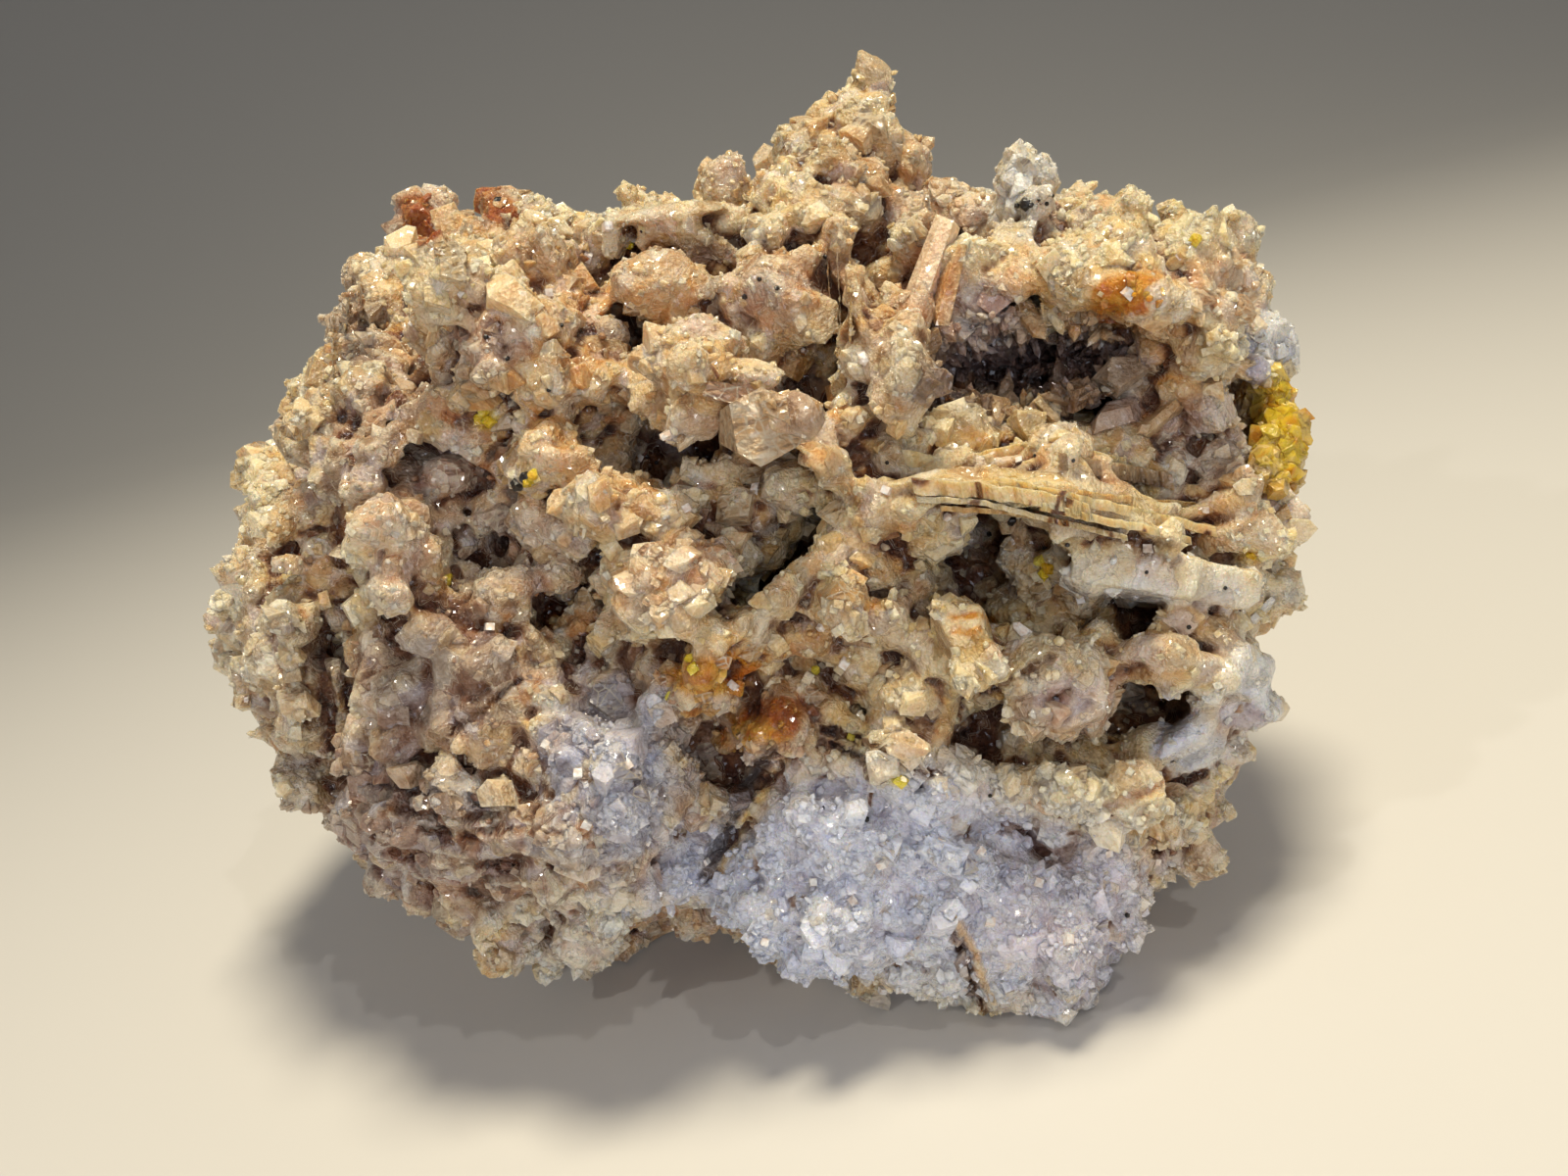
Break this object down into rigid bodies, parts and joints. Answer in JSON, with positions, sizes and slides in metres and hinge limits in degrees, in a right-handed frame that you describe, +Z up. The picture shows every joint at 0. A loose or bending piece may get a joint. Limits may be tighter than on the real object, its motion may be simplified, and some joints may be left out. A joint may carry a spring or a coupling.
{
  "type": "mineral specimen",
  "caption": "Hand-sized drusy calcite specimen with stacked blades, blocky crystals, a dark crystal-lined hollow and a patch of yellow fluorite on its right edge; it lies on a broken flat base.",
  "frame": {"origin": "on the surface that the specimen lies on, under the middle of its bounding box", "axes": "+Z up, -Y towards the side that is looked at, +X to that side's right, along the longest extent"},
  "size_m": [0.1218, 0.1046, 0.0832],
  "materials": {
    "calcite": "rough sparkling druse, cream and peach to lilac white, with rust and amber stains",
    "vug_crystals": "small translucent grey-lilac points",
    "fluorite": "translucent lemon-yellow crystal"
  },
  "bodies": {
    "root": {"calcite_mass": "calcite", "vug_crust": "vug_crystals", "fluorite_cluster": "fluorite"}
  },
  "joints": []
}
